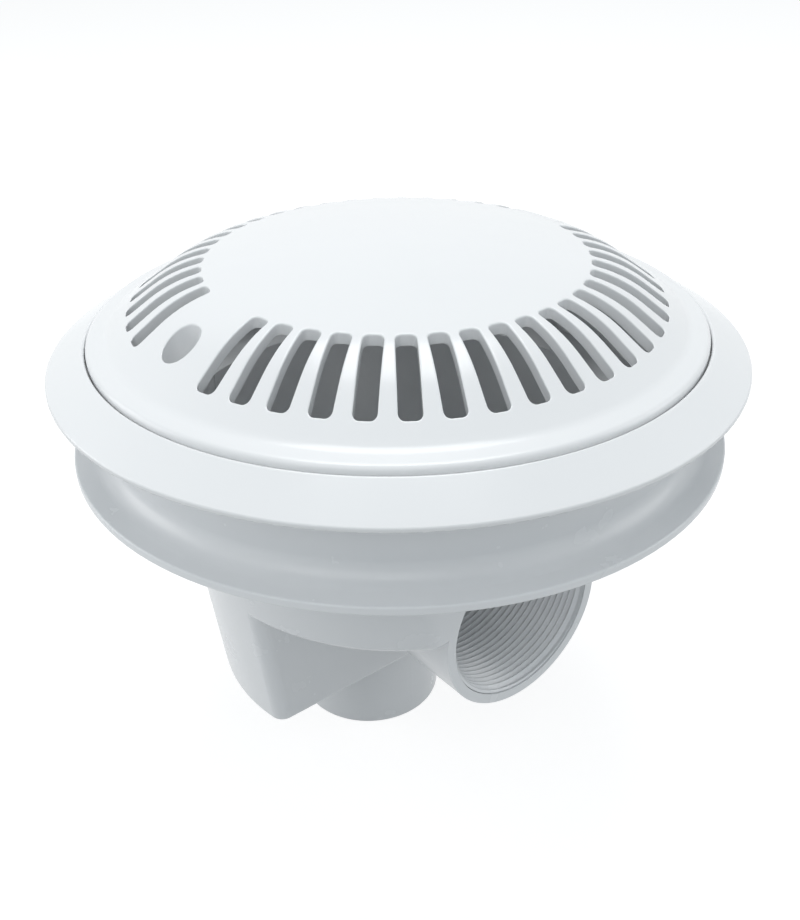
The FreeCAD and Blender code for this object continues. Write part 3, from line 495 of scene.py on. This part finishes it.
class DomeProfile:
    """Height of the cover's outer surface, or of the surface one wall below it, at a radius."""

    def __init__(self, sizes: CoverSizes) -> None:
        self._s = sizes
        s = sizes
        lean = math.asin(s.crown_radius / s.crown)
        self._lean = lean
        crease = (s.edge_radius - s.rim_width, s.edge_height + math.tan(s.rim_slope) * s.rim_width)
        self.band = s.crown_radius + s.shoulder * (math.sin(s.band_slope) - math.sin(lean))
        self._band_z = crease[1] + math.tan(s.band_slope) * (crease[0] - self.band)
        crown_z = self._band_z + s.shoulder * (math.cos(lean) - math.cos(s.band_slope))
        self._crown_center = crown_z - s.crown * math.cos(lean)
        self._shoulder_center = (s.crown_radius - s.shoulder * math.sin(lean),
                                 crown_z - s.shoulder * math.cos(lean))
        run = s.cove * math.tan((s.band_slope - s.rim_slope) / 2)
        self.cove_start = crease[0] - run * math.cos(s.band_slope)
        self.cove_end = crease[0] + run * math.cos(s.rim_slope)
        self._cove_center = (self.cove_start + s.cove * math.sin(s.band_slope),
                             crease[1] + run * math.sin(s.band_slope) + s.cove * math.cos(s.band_slope))
        self._crease = crease

    def height(self, radius: float, inset: float = 0.0) -> float:
        """Height of the surface.

        Args:
            radius: Distance from the axis.
            inset: Depth under the outer surface, along its normal.

        Returns:
            The height in millimetres.
        """
        s = self._s
        band_in = inset * math.sin(s.band_slope)
        if radius <= s.crown_radius - inset * math.sin(self._lean):
            return self._crown_center + math.sqrt((s.crown - inset) ** 2 - radius ** 2)
        if radius <= self.band - band_in:
            x, z = self._shoulder_center
            return z + math.sqrt((s.shoulder - inset) ** 2 - (radius - x) ** 2)
        if radius <= self.cove_start - band_in:
            fall = math.tan(s.band_slope) * (radius - self.band)
            return self._band_z - fall - inset / math.cos(s.band_slope)
        if radius <= self.cove_end - inset * math.sin(s.rim_slope):
            x, z = self._cove_center
            return z - math.sqrt((s.cove + inset) ** 2 - (radius - x) ** 2)
        fall = math.tan(s.rim_slope) * (radius - self._crease[0])
        return self._crease[1] - fall - inset / math.cos(s.rim_slope)


class DomeCover:
    """The grate: a dome in clean rings, with rounded slots and the two screw wells."""

    SIDE_STEPS = 14
    SLOT_END_STEPS = 6
    WELL_END_STEPS = 16
    CROWN_RINGS = (59.8, 55.0, 49.0, 43.0, 37.0, 31.0, 25.0, 19.0, 13.0, 7.0, 0.0)
    ROUND_STEPS = 3
    EDGE_STEPS = 8
    COVE_STEPS = 6
    BAND_FOOT = 92.0
    RIM_RADII = (97.2, 98.4, 99.4)
    UNDERSIDE_RADII = (96.6, 95.4, 94.4, 93.4, 92.4, 91.6)
    WELD = 0.004 * MM
    SHARP = math.radians(40.0)

    def __init__(self, sizes: CoverSizes) -> None:
        self._s = sizes
        self._profile = DomeProfile(sizes)
        span = sizes.slot_step * (sizes.slots - 1)
        first = -span / 2
        self._slot_angles = [first + side + sizes.slot_step * index
                             for side in (0.0, math.pi) for index in range(sizes.slots)]
        self._gap = (math.pi - span - sizes.slot_step) / 2

    def form(self) -> bmesh.types.BMesh:
        """Closed mesh of the whole cover."""
        form = bmesh.new()
        for angle in self._slot_angles:
            self._slot_patch(form, angle)
        for angle in (-math.pi / 2, math.pi / 2):
            self._well_patch(form, angle)
        self._rings(form)
        bmesh.ops.remove_doubles(form, verts=form.verts, dist=self.WELD)
        bmesh.ops.recalc_face_normals(form, faces=form.faces)
        mark_sharp(form, self.SHARP)
        return form

    def _side_radii(self) -> list[float]:
        """Radii along the straight sides of a patch."""
        s = self._s
        start = s.slot_inner + s.slot_corner
        end = s.slot_outer - s.slot_corner
        count = self.SIDE_STEPS - 4
        middle = [start + (end - start) * index / count for index in range(count + 1)]
        low, high = s.patch
        return [low, (low + start) / 2] + middle + [(end + high) / 2, high]

    def _frame_points(self, half: float, end_steps: int) -> list[Point]:
        """Outer outline of a patch, counter-clockwise, in the plane of its own middle line.

        Args:
            half: Half of the angle that the patch covers.
            end_steps: Steps along its curved ends.

        Returns:
            Points with x along the middle line.
        """
        radii = self._side_radii()
        turns = [-half + 2 * half * index / end_steps for index in range(end_steps + 1)]
        polar = [(radius, -half) for radius in radii[:-1]]
        polar += [(radii[-1], turn) for turn in turns[:-1]]
        polar += [(radius, half) for radius in reversed(radii[1:])]
        polar += [(radii[0], turn) for turn in reversed(turns[1:])]
        return [(radius * math.cos(turn), radius * math.sin(turn)) for radius, turn in polar]

    def _slot_points(self) -> list[Point]:
        """Outline of a slot, with a point for each point of its patch's outline."""
        s = self._s
        low, high = s.slot_widths[0] / 2, s.slot_widths[1] / 2
        bend = s.slot_corner
        corners = (
            (s.slot_inner + bend, -low + bend, math.pi),
            (s.slot_outer - bend, -high + bend, 1.5 * math.pi),
            (s.slot_outer - bend, high - bend, 0.0),
            (s.slot_inner + bend, low - bend, 0.5 * math.pi),
        )
        arcs = []
        for x, y, start in corners:
            turns = [start + math.pi / 8 * step for step in range(5)]
            arcs.append([(x + bend * math.cos(turn), y + bend * math.sin(turn)) for turn in turns])
        points: list[Point] = []
        for index, arc in enumerate(arcs):
            follower = arcs[(index + 1) % 4]
            steps = self.SIDE_STEPS - 4 if index % 2 == 0 else self.SLOT_END_STEPS - 4
            points += arc[2:]
            points += [blend(arc[-1], follower[0], step / steps) for step in range(1, steps)]
            points += follower[:2]
        return points

    def _slot_patch(self, form: bmesh.types.BMesh, angle: float) -> None:
        """Zone of one slot, from its outline through the slot's wall to the underside."""
        s = self._s
        outer = self._frame_points(s.slot_step / 2, self.SLOT_END_STEPS)
        hole = self._slot_points()
        rings = self._top_rings(outer, hole)
        low = [self._under(point) for point in hole]
        rings.append([(x, y, z + 0.25) for x, y, z in low])
        rings.append(low)
        rings += self._under_rings(outer, hole)
        add_rings(form, rings, angle)

    def _well_patch(self, form: bmesh.types.BMesh, angle: float) -> None:
        """Zone of one screw well, with its tube and its floor."""
        s = self._s
        outer = self._frame_points(self._gap, self.WELL_END_STEPS)
        turns = [math.atan2(y, x - s.well_circle) for x, y in outer]

        def circle(radius: float) -> list[Point]:
            """Circle round the well's axis, one point for each rail."""
            return [(s.well_circle + radius * math.cos(turn), radius * math.sin(turn)) for turn in turns]

        rings = self._top_rings(outer, circle(s.well_bore))
        tube = ((s.well_bore, s.well_seat + 0.6), (s.well_bore - 0.15, s.well_seat + 0.15),
                (s.well_bore - 0.6, s.well_seat), (s.screw_hole + 0.3, s.well_seat),
                (s.screw_hole, s.well_seat - 0.3), (s.screw_hole, s.seat),
                (s.well_outer - 0.4, s.seat), (s.well_outer, s.seat + 0.4))
        for radius, height in tube:
            rings.append([(x, y, height) for x, y in circle(radius)])
        outside = circle(s.well_outer)
        rings.append([self._under(point) for point in outside])
        rings += self._under_rings(outer, outside)
        add_rings(form, rings, angle)

    def _top_rings(self, outer: Sequence[Point], hole: Sequence[Point]) -> list[list[tuple]]:
        """Rings from a patch's outline over the top and round the edge of its hole."""
        s = self._s
        ways = outward(hole)
        round_off = s.edge_break

        def moved(distance: float) -> list[Point]:
            """Hole's outline grown by a distance."""
            return [(x + distance * wx, y + distance * wy) for (x, y), (wx, wy) in zip(hole, ways)]

        support = moved(round_off + 0.18)
        flat = [list(outer), [blend(a, b, 0.5) for a, b in zip(outer, support)], support]
        rings = [[self._over(point) for point in ring] for ring in flat]
        for step in range(self.ROUND_STEPS + 1):
            turn = math.pi / 2 * step / self.ROUND_STEPS
            drop = round_off * (1 - math.cos(turn))
            grown = moved(round_off * (1 - math.sin(turn)))
            rings.append([(x, y, z - drop) for x, y, z in map(self._over, grown)])
        rings.append([(x, y, z - round_off - 0.3) for x, y, z in map(self._over, hole)])
        return rings

    def _under_rings(self, outer: Sequence[Point], hole: Sequence[Point]) -> list[list[tuple]]:
        """Rings from a hole's lower edge to the patch's outline on the underside."""
        middle = [blend(a, b, 0.5) for a, b in zip(hole, outer)]
        return [[self._under(point) for point in ring] for ring in (middle, outer)]

    def _over(self, point: Point) -> tuple[float, float, float]:
        """Point on the outer surface."""
        return point[0], point[1], self._profile.height(math.hypot(*point))

    def _under(self, point: Point) -> tuple[float, float, float]:
        """Point on the inner surface."""
        return point[0], point[1], self._profile.height(math.hypot(*point), self._s.wall)

    def _columns(self) -> list[float]:
        """Angles of the rings' columns, the same as those of the patches."""
        s = self._s
        columns = []
        for angle in self._slot_angles:
            columns += [angle - s.slot_step / 2 + s.slot_step * step / self.SLOT_END_STEPS
                        for step in range(self.SLOT_END_STEPS)]
        for angle in (-math.pi / 2, math.pi / 2):
            columns += [angle - self._gap + 2 * self._gap * step / self.WELL_END_STEPS
                        for step in range(self.WELL_END_STEPS)]
        return sorted(angle % (2 * math.pi) for angle in columns)

    def _rim_profile(self) -> list[Point]:
        """Radius and height from the slotted zone over the edge and back on the underside."""
        s = self._s
        start = s.patch[1]
        foot, end = self._profile.cove_start, self._profile.cove_end
        cove = [foot + (end - foot) * step / self.COVE_STEPS for step in range(self.COVE_STEPS + 1)]
        turn_radius = s.edge_radius - s.edge_round
        turn_height = (s.edge_height + math.tan(s.rim_slope) * s.edge_round
                       - s.edge_round / math.cos(s.rim_slope))
        over = [start, self.BAND_FOOT, *cove, *self.RIM_RADII]
        points = [(radius, self._profile.height(radius)) for radius in over]
        for step in range(self.EDGE_STEPS + 1):
            turn = math.pi / 2 - s.rim_slope - (math.pi / 2 - s.rim_slope) * step / self.EDGE_STEPS
            points.append((turn_radius + s.edge_round * math.cos(turn),
                           turn_height + s.edge_round * math.sin(turn)))
        inner = s.edge_radius - s.wall
        points += [(s.edge_radius, s.seat + 0.4), (s.edge_radius - 0.3, s.seat), (inner + 0.3, s.seat),
                   (inner, s.seat + 0.3)]
        back = [inner, *self.UNDERSIDE_RADII, start]
        return points + [(radius, self._profile.height(radius, s.wall)) for radius in back]

    def _rings(self, form: bmesh.types.BMesh) -> None:
        """Crown on both sides, and the rim."""
        over = [(radius, self._profile.height(radius)) for radius in self.CROWN_RINGS]
        under = [(radius, self._profile.height(radius, self._s.wall)) for radius in self.CROWN_RINGS]
        columns = self._columns()
        for profile in (over, under, self._rim_profile()):
            rings = [[(radius * math.cos(turn), radius * math.sin(turn), height) for turn in columns]
                     for radius, height in profile]
            add_rings(form, rings, 0.0)


def blend(a: Sequence[float], b: Sequence[float], share: float) -> tuple[float, ...]:
    """Point between two points."""
    return tuple(p + (q - p) * share for p, q in zip(a, b))


def outward(loop: Sequence[Point]) -> list[Point]:
    """Outward unit normals of a counter-clockwise outline."""
    ways = []
    for index in range(len(loop)):
        before = loop[index - 1]
        after = loop[(index + 1) % len(loop)]
        dx, dy = after[0] - before[0], after[1] - before[1]
        length = math.hypot(dx, dy)
        ways.append((dy / length, -dx / length))
    return ways


def add_rings(form: bmesh.types.BMesh, rings: Sequence[Sequence[Sequence[float]]], angle: float) -> None:
    """Join closed rings of points by faces.

    Args:
        form: Mesh that takes the faces.
        rings: Rings with one point for each rail, in millimetres.
        angle: Turn about Z before the points are added.
    """
    turn = Matrix.Rotation(angle, 4, "Z")
    rows = [[form.verts.new((turn @ Vector(point)) * MM) for point in ring] for ring in rings]
    for row, follower in zip(rows, rows[1:]):
        for index in range(len(row)):
            after = (index + 1) % len(row)
            form.faces.new((row[index], row[after], follower[after], follower[index]))


def mark_sharp(form: bmesh.types.BMesh, limit: float) -> None:
    """Mark the edges between faces that turn by more than a limit."""
    for edge in form.edges:
        if len(edge.link_faces) == 2 and edge.calc_face_angle(0.0) > limit:
            edge.smooth = False


def main() -> None:
    """Dress the drain and light it."""
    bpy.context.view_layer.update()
    materials = MaterialMaker(FINISHES)
    shop = Shop(materials)
    shop.dress_nodes()
    shop.piece("grate_cover", DomeCover(CoverSizes()).form(), Slot.COVER, replaces=COVER_NODES)
    shop.piece("side_outlet_thread", PipeThread(SIDE_THREAD).form(), Slot.SUMP)
    shop.piece("bottom_outlet_thread", PipeThread(BOTTOM_THREAD).form(), Slot.SUMP)
    Studio().build()


if __name__ == "__main__":
    main()
